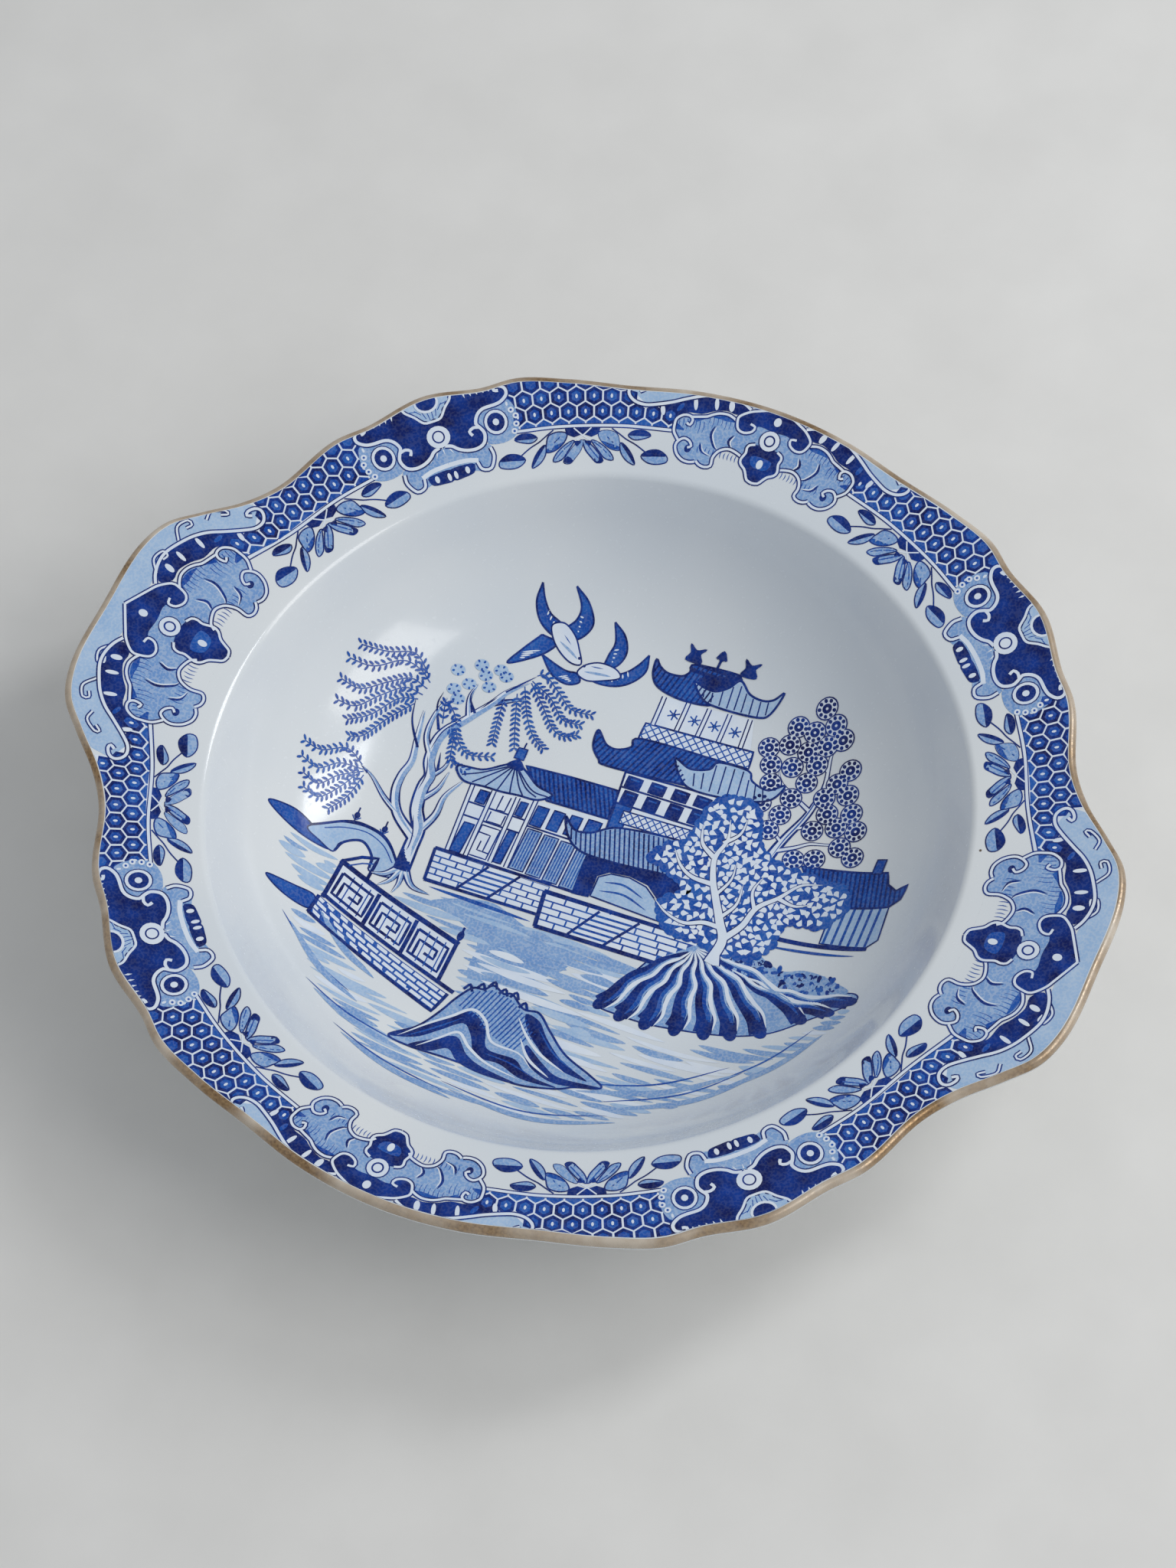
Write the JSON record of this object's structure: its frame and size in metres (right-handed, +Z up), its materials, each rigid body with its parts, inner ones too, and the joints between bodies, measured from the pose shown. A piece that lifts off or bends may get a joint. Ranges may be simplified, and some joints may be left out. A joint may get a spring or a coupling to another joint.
{
  "type": "two-handled serving bowl",
  "caption": "Round footed serving bowl with a scalloped flange, two tab handles, a gilt edge and a printed border and centre scene.",
  "frame": {"origin": "middle of the foot ring's resting plane", "axes": "+Z up; +X through the middle of one tab handle; the sides face +Y and -Y"},
  "size_m": [0.27, 0.2436, 0.0553],
  "materials": {
    "glazed_body": "clear glaze over white body",
    "foot": "glazed sides, bare ground land",
    "center_ink": "cobalt transfer print under glaze",
    "border_ink": "cobalt transfer print under glaze",
    "gilding": "worn gilding"
  },
  "bodies": {
    "root": {"well_body": "glazed_body", "foot_ring": "foot", "rim_flange": "glazed_body", "tab_handle_right": "glazed_body", "tab_handle_left": "glazed_body", "center_print": "center_ink", "border_print_1": "border_ink", "border_print_2": "border_ink", "border_print_3": "border_ink", "border_print_4": "border_ink", "gilt_edge": "gilding"}
  },
  "joints": []
}
